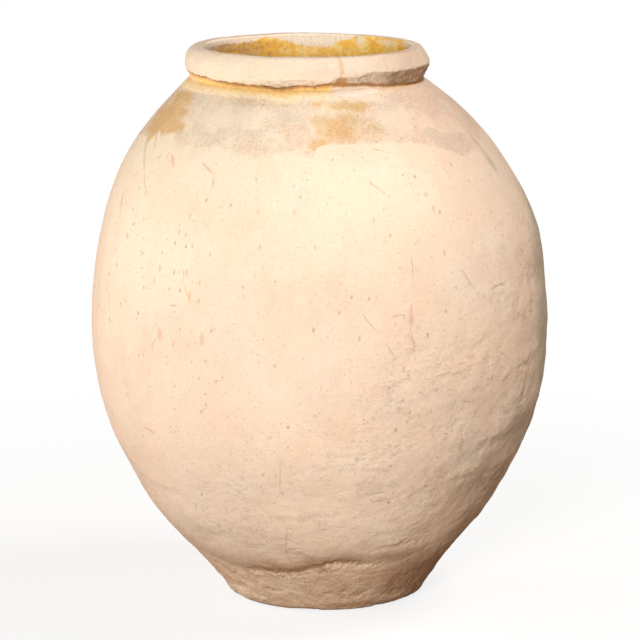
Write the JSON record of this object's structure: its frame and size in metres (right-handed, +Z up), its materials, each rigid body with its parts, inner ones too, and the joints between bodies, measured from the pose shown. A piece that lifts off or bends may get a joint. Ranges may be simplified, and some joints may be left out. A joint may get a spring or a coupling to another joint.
{
  "type": "terracotta jar",
  "caption": "Tall pale terracotta oil jar with a full round belly, narrow foot, rolled rim collar and yellow-glazed inside; stands on the floor as a store or garden planter.",
  "frame": {"origin": "centre of the foot's flat underside, under the middle of the belly", "axes": "+Z up along the jar's height; -Y is the front, where the short glaze run is on the rim; +X is to the right seen from the front"},
  "size_m": [0.6612, 0.6612, 0.8],
  "materials": {
    "foot_clay": "matt unglazed terracotta, warmer and soiled, with rough scraped marks",
    "belly_clay": "matt unglazed pale terracotta, weathered, with pits, scratches and faint coil marks",
    "shoulder_clay": "matt pale terracotta with a grey-brown stain that ends in a ragged tide line",
    "rim_clay": "matt pale terracotta, worn and chipped at the edge",
    "lining_glaze": "glossy yellow lead glaze, thin and uneven, brownish in the hollows",
    "yellow_glaze": "thin worn yellow glaze over terracotta"
  },
  "bodies": {
    "root": {"floor_slab": "foot_clay", "foot_course": "foot_clay", "lower_belly_course": "belly_clay", "girth_course": "belly_clay", "upper_belly_course": "belly_clay", "shoulder_course": "shoulder_clay", "rim_collar": "rim_clay", "glaze_lining": "lining_glaze", "neck_glaze_band": "yellow_glaze", "rim_glaze_run": "yellow_glaze"}
  },
  "joints": []
}
